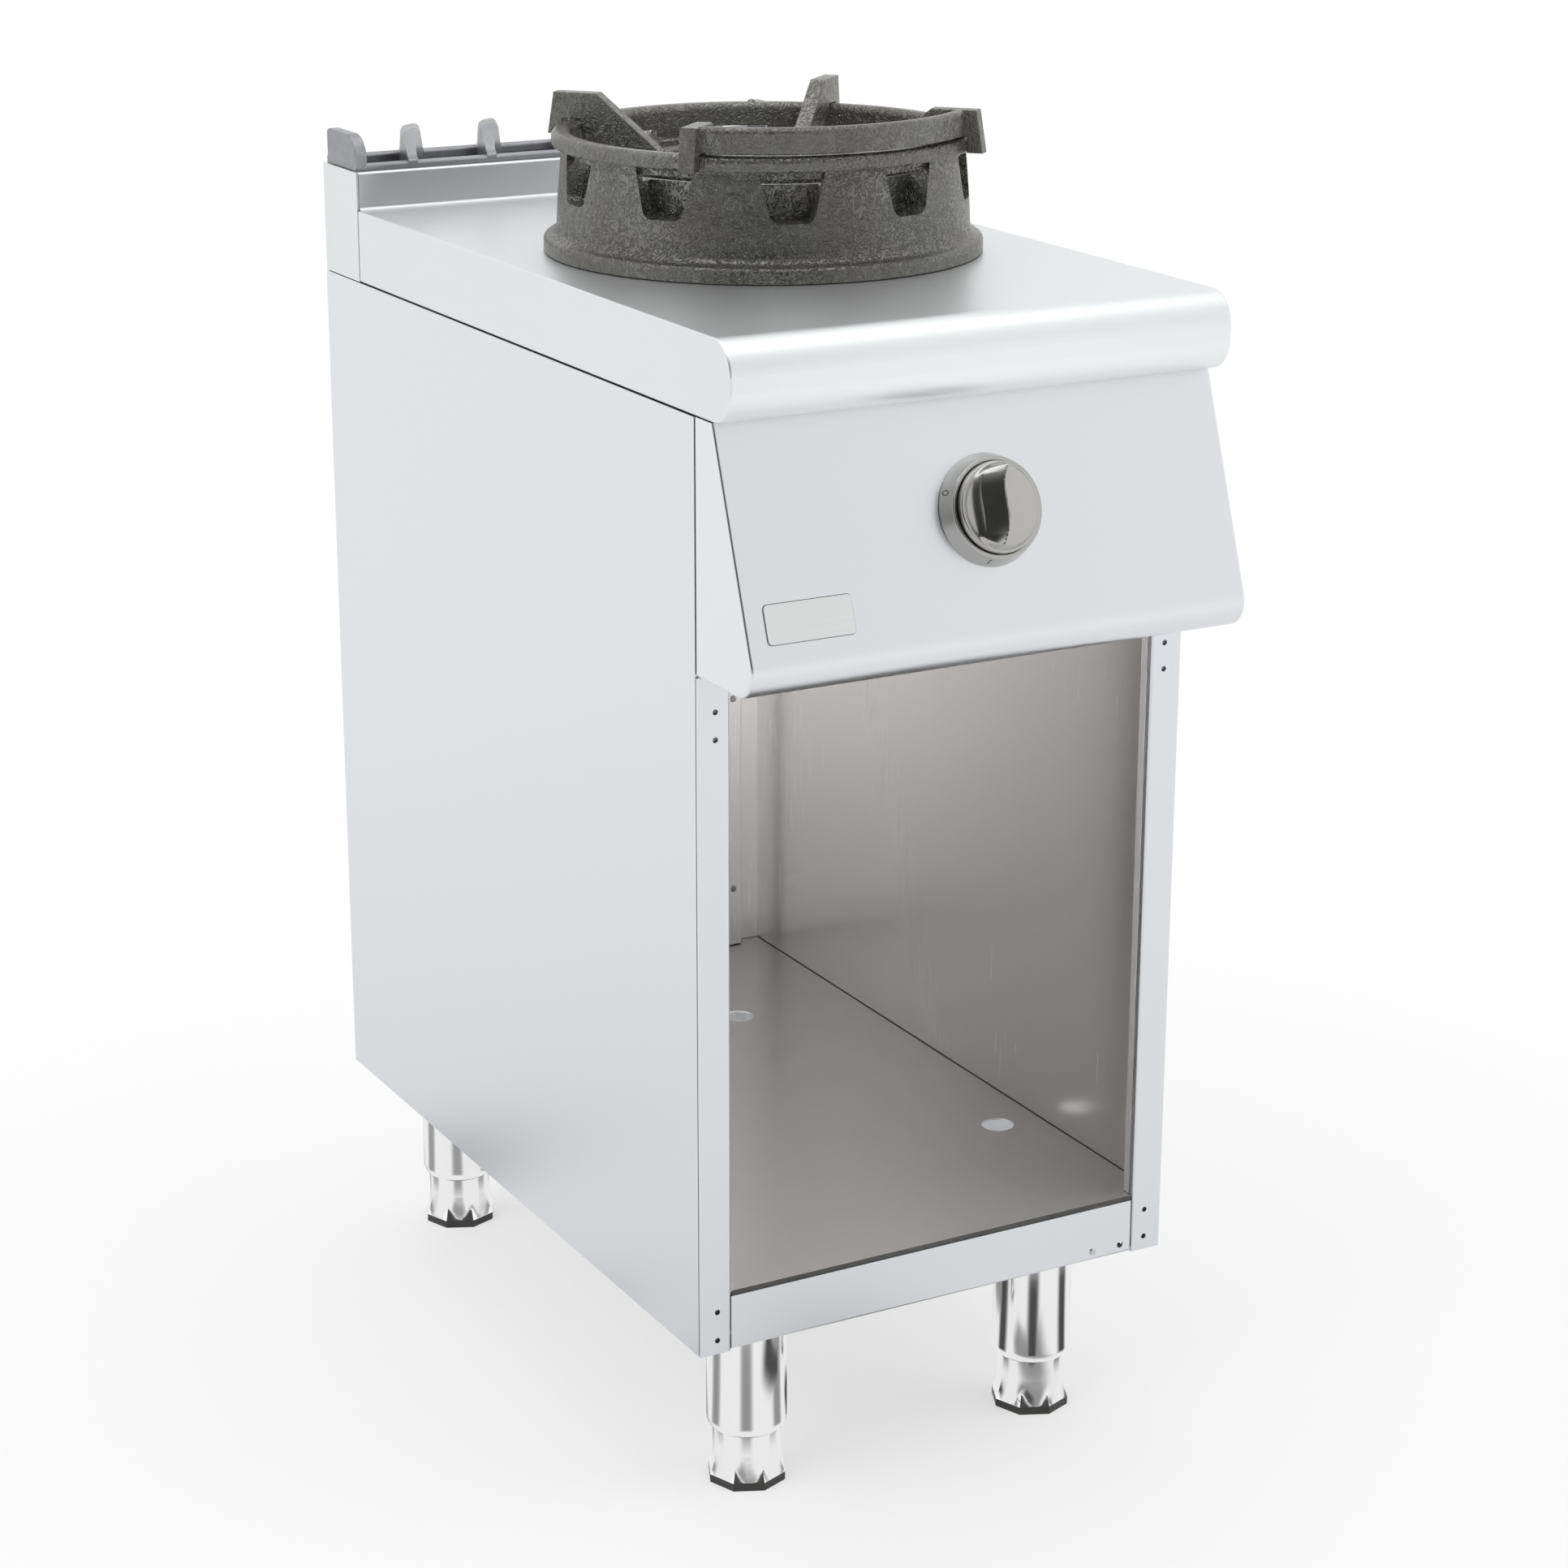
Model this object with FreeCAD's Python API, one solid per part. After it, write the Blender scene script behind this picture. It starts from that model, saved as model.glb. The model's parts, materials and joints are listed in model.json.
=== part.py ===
"""Wok range: open stainless cabinet on four feet, one tap, one cast-iron burner ring.

Millimetres. +X is the right side, +Y the back, +Z up. While the pieces are made, y = 0 is the
plane of the cabinet's front posts; every piece is moved back by ORIGIN_Y when it is written, so
that the origin is on the floor under the middle of the whole object.
"""
import FreeCAD, Part
import math
import os

V = FreeCAD.Vector
X_AXIS = V(1, 0, 0)
Y_AXIS = V(0, 1, 0)
Z_AXIS = V(0, 0, 1)

# ---- driving dimensions -------------------------------------------------------------------
WIDTH = 400.0
HALF = WIDTH / 2
DEPTH = 650.0            # front posts to the back sheet
CABINET_Z = 143.0        # underside of the cabinet, on its legs
SKIRT_Z = 837.0          # lower edge of the worktop's skirt
TOP_Z = 894.0            # cooking surface
SHEET = 1.5              # outer sheet
THIN = 1.2               # inner sheet
SEAM = 1.6               # open joint between the sill and the right stile
SKIRT_SEAM = 0.9         # open joint under the worktop's skirt
BEND = 2.0               # outside radius of a folded corner
SIDE_FRONT = 2.7         # front edge of a side sheet

STILE = 25.2             # width of a stile, the sheet beside the opening
STILE_LIP = 4.5          # depth of its folded lip at the opening
STILE_TAB = 11.0         # depth of its tab inside the side sheet
STILE_TOP = 655.3
HINGE_HOLE_R = 2.1
HINGE_HOLE_X = 186.0
HINGE_HOLES_Z = (153.8, 176.3, 609.5, 629.5)

SILL_Z = 186.5           # top edge of the bottom rail
SILL_RETURN = 20.0
RAIL_HOLE = (164.2, 151.4)       # x and z of the hole at the sill's right end
RAIL_SCREW = (139.1, 151.3)
RAIL_FIXING_R = 2.6
SHELF_Z = 189.5          # cabinet floor
SHELF_FRONT = 2.5
SHELF_FLANGE_Y = 23.0    # its front flange, turned down behind the sill
SHELF_HOLE_R = 13.0
SHELF_HOLES = ((157.7, 168.0), (86.5, 476.0))
LINER_X = 196.0          # inner face of the cabinet's side
LINER_FRONT = 14.0       # inner face of its front flange
LINER_BACK = 645.0       # back of its corner flange
CORNER_FLANGE = 30.0
TRAY_X = 174.4           # half the width of the inner back
TRAY_Y = 633.0           # its face
RIVET_X = 165.5
RIVETS_Z = (244.0, 424.0, 604.0)
SHIELD_Z = 651.5

NOSE_Y = -48.0           # front of the worktop
NOSE_R = 23.0
RISER_Y = 580.0          # front of the flue riser
RISER_Z = 924.0
UPSTAND_FLANGE = 12.0    # flat top of the worktop's upstand
CUTOUT_R = 141.0
GRILLE_FRONT = 587.0
GRILLE_BACK = 646.0
GRILLE_TOP = RISER_Z + 27.5
GRILLE_RIBS_X = (-148.0, -79.0, -10.0, 59.0, 128.0)      # their front feet
GRILLE_SLANT = 0.4       # the ribs run to the right as they go back

PANEL_TILT = 19.42       # the control panel leans back from the vertical, degrees
PANEL_Z = 656.5          # its underside
PANEL_BACK = 0.3         # rear edge of its flanks
PANEL_R = 20.0           # its rounded lower edge
PANEL_REF = V(0, -76.6, 682.8)   # a point on the sloping face
PANEL_UP = V(0, math.sin(math.radians(PANEL_TILT)), math.cos(math.radians(PANEL_TILT)))
BADGE = (67.0, 27.0, 1.0)        # plate: width, height, thickness
BADGE_AT = (-150.6, 25.6)        # its centre on the sloping face

KNOB_X = 0.4
KNOB_UP = 82.7           # up the sloping face from PANEL_REF
KNOB_PUSH = 5.0
BEZEL_BASE_R = 39.5
BEZEL_RIM_R = 35.3
BEZEL_H = 12.7
BEZEL_BORE_R = 32.6
KNOB_R = 31.3
KNOB_RIM = 18.0          # front edge of the grip's side wall, above the panel
KNOB_H = 29.0            # crest of the grip above the panel
KNOB_BORE = 15.0         # top of the spindle in the grip
SPINDLE_R = 4.0
RUNNING = 0.06           # radial clearance of a shaft in its hole
CLEAR = 0.4              # gap between pieces that move past each other

LEG_X = 127.3
LEG_FRONT_Y = 64.8
LEG_BACK_Y = 597.9
LEG_R = 30.4
LEG_END_Z = 42.0
LEG_WALL = 1.5
FOOT_R = 25.8
FOOT_FLARE_Z = 27.0
FOOT_BASE_R = 30.7       # corners of the octagon
PAD_H = 6.3
SPINDLE_FOOT_R = 8.0

RING_Y = 273.0           # centre of the burner, x = 0
RING_TURN = -2.8         # the ring's windows start here, degrees
FIN_TURN = -2.3
FLANGE_R = 164.2
WALL_BASE_R = 153.4
WALL_TOP_R = 149.9
RIM_R = 157.3
RIM_LOW = 77.5
RIM_TOP = 89.0
RING_INNER_R = 143.0
RIM_HANG_R = 146.5       # the rim's inner edge hangs down behind the windows
RIM_HANG_Z = 71.5
COLLAR_R = 131.0
COLLAR_IN_R = 126.0
COLLAR_TOP = 66.0
POCKET_FLOOR = 41.0
WINDOWS = 10
NUB_R = 150.0            # small cast nub on the rim
NUB_ANGLE = math.radians(65)
FIN_T = 12.0
FIN_TOP = 109.0

INLET_X = 160.0
INLET_R = 10.48          # G 1/2 thread
INLET_HEX = 6.0          # thickness of its hexagon, outside the back sheet
INLET_OUT = 24.0         # how far it stands out of the back
FRONT_Y = -85.6          # the knob's grip
ORIGIN_Y = (FRONT_Y + DEPTH + INLET_OUT) / 2


# ---- helpers ------------------------------------------------------------------------------
def box(x0, x1, y0, y1, z0, z1):
    return Part.makeBox(x1 - x0, y1 - y0, z1 - z0, V(x0, y0, z0))


def rod(start, direction, radius, length):
    return Part.makeCylinder(radius, length, start, direction)


def fuse(shapes):
    body = shapes[0]
    if len(shapes) > 1:
        body = body.multiFuse(list(shapes[1:]))
    return body.removeSplitter()


def mirrored(shape):
    """The same piece on the other side of the plane x = 0."""
    return shape.mirror(V(0, 0, 0), X_AXIS)


def outline(corners, place):
    """Closed wire through corners (u, v) or (u, v, radius); place(u, v) gives the point in space."""
    flat = [V(c[0], c[1], 0) for c in corners]
    radii = [c[2] if len(c) > 2 else 0.0 for c in corners]
    arcs = []
    for i, here in enumerate(flat):
        before = (flat[i - 1] - here).normalize()
        after = (flat[(i + 1) % len(flat)] - here).normalize()
        if radii[i] == 0:
            arcs.append((here, None, here))
            continue
        half = before.getAngle(after) / 2
        cut = radii[i] / math.tan(half)
        middle = (before + after).normalize() * (radii[i] / math.sin(half) - radii[i])
        arcs.append((here + before * cut, here + middle, here + after * cut))
    edges = []
    for i, (start, middle, end) in enumerate(arcs):
        if middle is not None:
            edges.append(Part.Arc(*(place(p.x, p.y) for p in (start, middle, end))).toShape())
        following = arcs[(i + 1) % len(arcs)][0]
        if (following - end).Length > 1e-6:
            edges.append(Part.LineSegment(place(end.x, end.y), place(following.x, following.y)).toShape())
    return Part.Wire(edges)


def prism_x(corners, x0, x1):
    """Outline in (y, z), extruded from x0 to x1."""
    return Part.Face(outline(corners, lambda u, v: V(x0, u, v))).extrude(V(x1 - x0, 0, 0))


def prism_z(corners, z0, z1):
    """Outline in (x, y), extruded from z0 to z1."""
    return Part.Face(outline(corners, lambda u, v: V(u, v, z0))).extrude(V(0, 0, z1 - z0))


def slab(corners, thickness):
    """Outline in (x, z), extruded evenly to both sides of the plane y = 0."""
    face = Part.Face(outline(corners, lambda u, v: V(u, -thickness / 2, v)))
    return face.extrude(V(0, thickness, 0))


def turned(corners, sweep=360.0, start=0.0):
    """Outline in (radius, z), turned round Z."""
    shape = Part.Face(outline(corners, lambda u, v: V(u, 0, v))).revolve(V(0, 0, 0), Z_AXIS, sweep)
    shape.rotate(V(0, 0, 0), Z_AXIS, start)
    return shape


def moved(shape, x=0.0, y=0.0, z=0.0):
    copy = shape.copy()
    copy.translate(V(x, y, z))
    return copy


def path(points, bend):
    """Straight runs through the points, joined by tangent arcs of radius bend."""
    edges = []
    start = points[0]
    for before, here, after in zip(points, points[1:], points[2:]):
        back = (before - here).normalize()
        on = (after - here).normalize()
        half = back.getAngle(on) / 2
        cut = bend / math.tan(half)
        middle = (back + on).normalize() * (bend / math.sin(half) - bend)
        edges.append(Part.LineSegment(start, here + back * cut).toShape())
        edges.append(Part.Arc(here + back * cut, here + middle, here + on * cut).toShape())
        start = here + on * cut
    edges.append(Part.LineSegment(start, points[-1]).toShape())
    return Part.Wire(edges)


def tube(points, radius, bend, bore=0.0):
    """Round pipe along the points; bore is its inner radius."""
    line = path(points, bend)
    heading = points[1] - points[0]

    def sweep(r):
        circle = Part.Wire(Part.makeCircle(r, points[0], heading))
        return line.makePipeShell([circle], True, False)

    solid = sweep(radius)
    if bore:
        solid = solid.cut(sweep(bore))
    return solid


def arc_from(start, heading, end):
    """Arc that leaves start along heading and ends at end."""
    chord = end - start
    inwards = heading.cross(chord).cross(heading).normalize()
    radius = chord.dot(chord) / (2 * inwards.dot(chord))
    centre = start + inwards * radius
    middle = centre + ((start + end) * 0.5 - centre).normalize() * radius
    return Part.Arc(start, middle, end).toShape()


def biarc(start, heading, end, heading_out):
    """Two tangent arcs from start along heading to end along heading_out."""
    chord = end - start
    a = 2 * (heading.dot(heading_out) - 1)
    b = -2 * chord.dot(heading + heading_out)
    root = math.sqrt(b * b - 4 * a * chord.dot(chord))
    reach = min(x for x in ((-b + root) / (2 * a), (-b - root) / (2 * a)) if x > 0)
    first = start + heading * reach
    second = end - heading_out * reach
    join = (first + second) * 0.5
    return [arc_from(start, heading, join), arc_from(join, (second - first).normalize(), end)]


def coil(mean_r, wire_r, length, turns):
    """Helical spring round Z from z = 0, swept along quarter turns."""
    rise = length / turns / (2 * math.pi)

    def point(angle):
        return V(mean_r * math.cos(angle), mean_r * math.sin(angle), rise * angle)

    def heading(angle):
        return V(-mean_r * math.sin(angle), mean_r * math.cos(angle), rise).normalize()

    edges = []
    for quarter in range(4 * turns):
        a = quarter * math.pi / 2
        b = a + math.pi / 2
        edges += biarc(point(a), heading(a), point(b), heading(b))
    wire = Part.Wire(Part.makeCircle(wire_r, point(0), heading(0)))
    return Part.Wire(edges).makePipeShell([wire], True, False)


def on_panel(shape, right, up, out=0.0):
    """Move a shape made round the origin, facing +Z, onto the sloping face."""
    copy = shape.copy()
    copy.rotate(V(0, 0, 0), X_AXIS, 90 - PANEL_TILT)
    copy.translate(PANEL_REF + X_AXIS * right + PANEL_UP * up + PANEL_OUT * out)
    return copy


def at_knob(shape):
    return on_panel(shape, KNOB_X, KNOB_UP)


PANEL_OUT = X_AXIS.cross(PANEL_UP)
KNOB_CENTRE = PANEL_REF + X_AXIS * KNOB_X + PANEL_UP * KNOB_UP


# ---- cabinet ------------------------------------------------------------------------------
def side_panel():
    """Left outer sheet; the right one is its mirror."""
    return box(-HALF, -HALF + SHEET, SIDE_FRONT, DEPTH, CABINET_Z, SKIRT_Z - SKIRT_SEAM)


def stile():
    """Left front sheet beside the opening: lip, hinge holes, and a tab that runs up behind the seam."""
    inner = HALF - STILE
    tab_out = HALF - SHEET - 0.3
    tab_in = tab_out - SHEET
    post = prism_z([(-HALF, 0), (-inner, 0, BEND), (-inner, STILE_LIP), (-inner - SHEET, STILE_LIP),
                    (-inner - SHEET, SHEET, BEND - SHEET), (-tab_in, SHEET), (-tab_in, STILE_TAB),
                    (-tab_out, STILE_TAB), (-tab_out, SHEET), (-HALF, SHEET)], CABINET_Z, STILE_TOP)
    tab = box(-tab_out, -tab_in, SHEET, STILE_TAB, STILE_TOP, SKIRT_Z - SKIRT_SEAM)
    holes = [rod(V(-HINGE_HOLE_X, -1, z), Y_AXIS, HINGE_HOLE_R, SHEET + 2) for z in HINGE_HOLES_Z]
    return fuse([post, tab]).cut(Part.makeCompound(holes))


def back_panel():
    edge = HALF - SHEET
    sheet = box(-edge, edge, DEPTH - SHEET, DEPTH, CABINET_Z, SKIRT_Z - SKIRT_SEAM)
    hole = rod(V(INLET_X, DEPTH - 2 * SHEET, GAS_Z), Y_AXIS, INLET_R + CLEAR, 3 * SHEET)
    return sheet.cut(hole)


def bottom_rail():
    """Sill: front face with its lower return, and a hole at its right end."""
    left = -(HALF - STILE) + 0.2
    right = HALF - STILE - SEAM
    low = CABINET_Z + 1
    rail = prism_x([(0, SILL_Z), (0, low, BEND), (SILL_RETURN, low), (SILL_RETURN, low + SHEET),
                    (SHEET, low + SHEET, BEND - SHEET), (SHEET, SILL_Z)], left, right)
    return rail.cut(rod(V(RAIL_HOLE[0], -1, RAIL_HOLE[1]), Y_AXIS, RAIL_FIXING_R, SHEET + 2))


def rail_screw():
    head = turned([(0, 0), (RAIL_FIXING_R, 0), (RAIL_FIXING_R, 0.5), (1.9, 1.0), (0, 1.0)])
    head.rotate(V(0, 0, 0), X_AXIS, 90)
    return moved(head, RAIL_SCREW[0], 0, RAIL_SCREW[1])


def base_shelf():
    """Cabinet floor: narrow between the stiles, with a flange turned down behind the sill, and two holes."""
    mouth = HALF - STILE - 0.6
    shoulder = STILE_LIP + 3.5
    side = LINER_X - 0.5
    back = LINER_BACK - 0.3
    sheet = prism_z([(-mouth, SHELF_FRONT), (mouth, SHELF_FRONT), (mouth, shoulder), (side, shoulder),
                     (side, back), (-side, back), (-side, shoulder), (-mouth, shoulder)],
                    SHELF_Z - SHEET, SHELF_Z)
    flange = box(-mouth, mouth, SHELF_FLANGE_Y, SHELF_FLANGE_Y + SHEET, CABINET_Z + 2.0, SHELF_Z)
    holes = [rod(V(x, y, SHELF_Z - 3), Z_AXIS, SHELF_HOLE_R, 6) for x, y in SHELF_HOLES]
    return fuse([sheet, flange]).cut(Part.makeCompound(holes))


def liner():
    """Inner side wall, left: a lip and flange beside the opening, the wall, and a flange along the back."""
    lip = HALF - STILE
    lip_front = STILE_LIP + 1.2
    outer = LINER_X + THIN
    corner = LINER_X - CORNER_FLANGE
    return prism_z([(-lip, lip_front), (-lip, LINER_FRONT, 1.5), (-LINER_X, LINER_FRONT),
                    (-LINER_X, LINER_BACK - THIN), (-corner, LINER_BACK - THIN), (-corner, LINER_BACK),
                    (-outer, LINER_BACK), (-outer, LINER_FRONT - THIN), (-lip - THIN, LINER_FRONT - THIN),
                    (-lip - THIN, lip_front)], SHELF_Z + 0.5, SHIELD_Z)


def inner_back():
    """Shallow tray in front of the corner flanges, its sides turned back."""
    rim = LINER_BACK - THIN - 0.3
    skin = TRAY_X - THIN
    return prism_z([(-TRAY_X, TRAY_Y, 1.5), (TRAY_X, TRAY_Y, 1.5), (TRAY_X, rim), (skin, rim),
                    (skin, TRAY_Y + THIN), (-skin, TRAY_Y + THIN), (-skin, rim), (-TRAY_X, rim)],
                   SHELF_Z + 1, SHIELD_Z)


def liner_rivets():
    """Domed rivets that hold the inner back."""
    dome = turned([(0, 0), (3.0, 0), (2.4, 1.1, 0.5), (0, 1.3)])
    dome.rotate(V(0, 0, 0), X_AXIS, 90)
    return Part.makeCompound([moved(dome, side * RIVET_X, TRAY_Y, z) for side in (-1, 1) for z in RIVETS_Z])


def top_shield():
    """Sheet between the burner's room and the cabinet, with front and back flanges turned up."""
    top = SHIELD_Z + THIN
    front = 2.0
    back = DEPTH - SHEET - 1
    flat = box(-LINER_X, LINER_X, front, back, SHIELD_Z, top)
    flanges = [box(-LINER_X, LINER_X, y, y + THIN, SHIELD_Z, top + 20) for y in (front, back - THIN)]
    mouth = HALF - STILE - 0.3
    notches = [box(x, x + HALF - mouth, 0, STILE_LIP + 1, SHIELD_Z - 1, top + 21) for x in (-HALF, mouth)]
    return fuse([flat] + flanges).cut(Part.makeCompound(notches))


def cross_rail(y):
    """Channel under the cabinet that carries two legs."""
    half = 38.0
    top = CABINET_Z + 2.0
    lip = CABINET_Z + 18.0
    edge = HALF - SHEET - 0.1
    rail = prism_x([(y - half, lip), (y - half, CABINET_Z, 3), (y + half, CABINET_Z, 3), (y + half, lip),
                    (y + half - 2, lip), (y + half - 2, top, 1), (y - half + 2, top, 1), (y - half + 2, lip)],
                   -edge, edge)
    bolts = [rod(V(x, y, CABINET_Z - 1), Z_AXIS, SPINDLE_FOOT_R + 1, 6) for x in (-LEG_X, LEG_X)]
    return rail.cut(Part.makeCompound(bolts))


def back_screws():
    head = turned([(0, 0), (4.0, 0), (4.0, 0.8), (2.8, 1.8, 0.6), (0, 1.8)])
    head.rotate(V(0, 0, 0), X_AXIS, -90)
    return Part.makeCompound([moved(head, side * 190.0, DEPTH, z)
                              for side in (-1, 1) for z in (160.0, 490.0, 820.0)])


# ---- worktop and riser --------------------------------------------------------------------
def worktop():
    """Pressed top: closed rounded nose, side skirts, burner cut-out, and an upstand at the back."""
    back = RISER_Y - 1.4
    solid = prism_x([(back, SKIRT_Z), (back, TOP_Z), (NOSE_Y, TOP_Z, NOSE_R), (NOSE_Y, SKIRT_Z, NOSE_R)],
                    -HALF, HALF)
    rims = [e for e in solid.Edges
            if abs(abs(e.CenterOfMass.x) - HALF) < 1e-3 and e.BoundBox.XLength < 1e-3
            and e.BoundBox.ZMax > SKIRT_Z + 1 and e.BoundBox.YMin < back - 1]
    solid = solid.makeFillet(BEND, rims)
    low = TOP_Z - SHEET
    inner = NOSE_R - SHEET
    hollow = prism_x([(0, SKIRT_Z + SHEET), (0, SKIRT_Z - 1), (back + 1, SKIRT_Z - 1), (back + 1, low),
                      (NOSE_Y + SHEET, low, inner), (NOSE_Y + SHEET, SKIRT_Z + SHEET, inner)],
                     -HALF + SHEET, HALF - SHEET)
    cutout = rod(V(0, RING_Y, low - 1), Z_AXIS, CUTOUT_R, SHEET + 2)
    return fuse([solid.cut(hollow).cut(cutout), upstand()])


def upstand():
    """Back of the pressed top: bent up against the riser, then back over it."""
    start = RISER_Y - 8
    end = RISER_Y + UPSTAND_FLANGE
    top = RISER_Z - 0.3
    hollow_bend = 3.0
    edge = HALF - SHEET - 0.5
    return prism_x([(start, TOP_Z), (RISER_Y, TOP_Z, hollow_bend), (RISER_Y, top, BEND), (end, top),
                    (end, top - SHEET), (RISER_Y + SHEET, top - SHEET, BEND - SHEET),
                    (RISER_Y + SHEET, TOP_Z - SHEET, hollow_bend + SHEET), (start, TOP_Z - SHEET)],
                   -edge, edge)


def flue_riser():
    """Sides and back of the chimney behind the upstand: front flanges, and a hem along the top."""
    top = RISER_Z - 0.3
    flange = RISER_Y + SHEET + 0.3
    outer = box(-HALF, HALF, RISER_Y, DEPTH, SKIRT_Z, top)
    hollow = box(-HALF + SHEET, HALF - SHEET, RISER_Y - 1, DEPTH - SHEET, SKIRT_Z - 1, top + 1)
    shell = outer.cut(hollow)
    corners = [e for e in shell.Edges if e.BoundBox.ZLength > 50
               and abs(abs(e.CenterOfMass.x) - HALF) < 1e-3 and e.CenterOfMass.y > DEPTH - 1]
    hem = box(-HALF + SHEET, HALF - SHEET, DEPTH - 16, DEPTH - SHEET, top - SHEET, top)
    flanges = [box(x, x + 12, flange, flange + SHEET, SKIRT_Z, top - SHEET - 0.3)
               for x in (-HALF + SHEET, HALF - SHEET - 12)]
    return fuse([shell.makeFillet(1.2, corners), hem] + flanges)


def flue_grille():
    """Cast grille on the flue: two ridged bars, two end plates and five ribs that spread at their feet."""
    edge = HALF - 2.5
    bars = [grille_bar(GRILLE_FRONT, 11.0, 4.5, edge), grille_bar(GRILLE_BACK - 14, 14.0, 6.0, edge)]
    middle = HALF - 7.7
    ends = []
    for x in (-middle, middle):
        plate = prism_x([(GRILLE_FRONT, RISER_Z), (GRILLE_FRONT, GRILLE_TOP, 19), (GRILLE_BACK, GRILLE_TOP, 4),
                         (GRILLE_BACK, RISER_Z)], x - 5.2, x + 5.2)
        ends.append(plate.makeFillet(1.6, [e for e in plate.Edges if e.BoundBox.XLength < 1e-3
                                           and e.BoundBox.ZMax > RISER_Z + 1]))
    ribs = [grille_rib(x) for x in GRILLE_RIBS_X]
    return fuse(bars + ends + ribs)


def grille_bar(y, width, height, edge):
    """Long bar with a ridge along each side."""
    valley = height - 1.6
    return prism_x([(y, RISER_Z), (y, RISER_Z + height, 2), (y + 0.32 * width, RISER_Z + height, 1.2),
                    (y + 0.5 * width, RISER_Z + valley, 1.2), (y + 0.68 * width, RISER_Z + height, 1.2),
                    (y + width, RISER_Z + height, 2), (y + width, RISER_Z)], -edge, edge)


def grille_rib(x):
    """Slanted rib: narrow foot on the front bar, wide crown on the back one, spreading at its base."""
    front = GRILLE_FRONT
    back = GRILLE_BACK
    foot = RISER_Z
    crown = GRILLE_TOP
    run = V(GRILLE_SLANT * (back - front + 2), back - front + 2, 0)
    side_view = prism_x([(front, foot), (front, foot + 6, 2), (front + 9, foot + 8, 14), (front + 30, crown, 12),
                         (back, crown, 5), (back, foot)], x - 20, x + 50)
    front_view = outline([(x - 14, foot), (x - 10.5, foot + 7, 8), (x - 9, crown - 2.5, 6), (x + 7, crown, 6),
                          (x + 10, foot + 7, 8), (x + 14, foot)], lambda u, v: V(u, front - 1, v))
    along = Part.Face(front_view).extrude(run)
    rear = x + run.x
    plan = prism_z([(x - 4, front - 1), (x + 4, front - 1), (x + 9, front + 14, 20), (rear + 14, back + 1),
                    (rear - 14, back + 1), (x + 0.5, front + 14, 20)], foot - 1, crown + 1)
    return side_view.common(along).common(plan)


# ---- control panel, knob and tap ----------------------------------------------------------
def panel_profile(inset, top, back):
    """Side view of the control box in (y, z), its skin moved inwards by inset."""
    face_y = PANEL_REF.y + inset / math.cos(math.radians(PANEL_TILT))
    slope = math.tan(math.radians(PANEL_TILT))
    low = PANEL_Z + inset
    return [(face_y + slope * (top - PANEL_REF.z), top), (face_y + slope * (low - PANEL_REF.z), low,
            PANEL_R - inset), (back, low), (back, top)]


def control_panel():
    """Folded box: sloping face, rounded lower edge, flanks flush with the cabinet's sides."""
    top = SKIRT_Z - 0.5
    solid = prism_x(panel_profile(0, top, PANEL_BACK), -HALF, HALF)
    rims = [e for e in solid.Edges
            if abs(abs(e.CenterOfMass.x) - HALF) < 1e-3 and e.BoundBox.XLength < 1e-3
            and e.BoundBox.YMax < PANEL_BACK - 1]
    solid = solid.makeFillet(BEND, rims)
    hollow = prism_x(panel_profile(SHEET, top + 1, 1), -HALF + SHEET, HALF - SHEET)
    hole = at_knob(rod(V(0, 0, -5), Z_AXIS, 10.0, 10))
    return solid.cut(hollow).cut(hole)


def badge_plate():
    w, h, t = BADGE
    plate = prism_z([(-w / 2, -h / 2, 3), (w / 2, -h / 2, 3), (w / 2, h / 2, 3), (-w / 2, h / 2, 3)], 0, t)
    return on_panel(plate, *BADGE_AT)


def knob_bezel():
    """Fixed tapered ring round the knob, with a floor."""
    return at_knob(turned([(10.5, 0), (BEZEL_BASE_R, 0), (BEZEL_BASE_R, 1.0), (BEZEL_RIM_R, BEZEL_H, 1.0),
                           (BEZEL_BORE_R, BEZEL_H, 0.5), (BEZEL_BORE_R, 1.2), (10.5, 1.2)]))


def knob():
    """Turning grip: round body, a curved crest that drops steeply on the left and slopes to the right."""
    low = 1.2 + KNOB_PUSH + CLEAR
    body = turned([(0, low), (KNOB_R, low), (KNOB_R, KNOB_RIM, 1.5), (0, KNOB_RIM)])
    ridge_foot = [(-4, 28), (9, 26.5), (25, 9, 24), (24.5, -13, 24), (3, -28.5), (-13, -25),
                  (-9, -10, 25), (-11, 4, 25)]
    ridge_top = [(0.5, 26.0), (5.0, 24.5), (1.2, 7, 30), (0.8, -12, 30), (-7.5, -27.5), (-11, -26),
                 (-4.5, -12, 25), (-4.5, 6, 25)]
    foot = outline(ridge_foot, lambda u, v: V(u, v, KNOB_RIM - 0.5))
    crest = outline(ridge_top, lambda u, v: V(u, v, KNOB_H))
    ridge = Part.makeLoft([foot, crest], True, True)
    bore = rod(V(0, 0, 0), Z_AXIS, SPINDLE_R, KNOB_BORE)
    return at_knob(fuse([body, ridge]).cut(bore))


def knob_spindle():
    """Shaft from the knob into the tap, with the collar that pushes the washer."""
    return at_knob(turned([(0, -31), (SPINDLE_R, -31), (SPINDLE_R, -1.7), (7, -1.7), (7, 0.4),
                           (SPINDLE_R, 0.4), (SPINDLE_R, KNOB_BORE), (0, KNOB_BORE)]))


def thrust_washer():
    return at_knob(turned([(SPINDLE_R + RUNNING, -4), (8, -4), (8, -2), (SPINDLE_R + RUNNING, -2)]))


def tap_spring():
    """Open coil between the washer and the tap bracket."""
    spring = coil(mean_r=6.2, wire_r=0.5, length=8.8, turns=4)
    return at_knob(moved(spring, z=-13.4))


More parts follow.
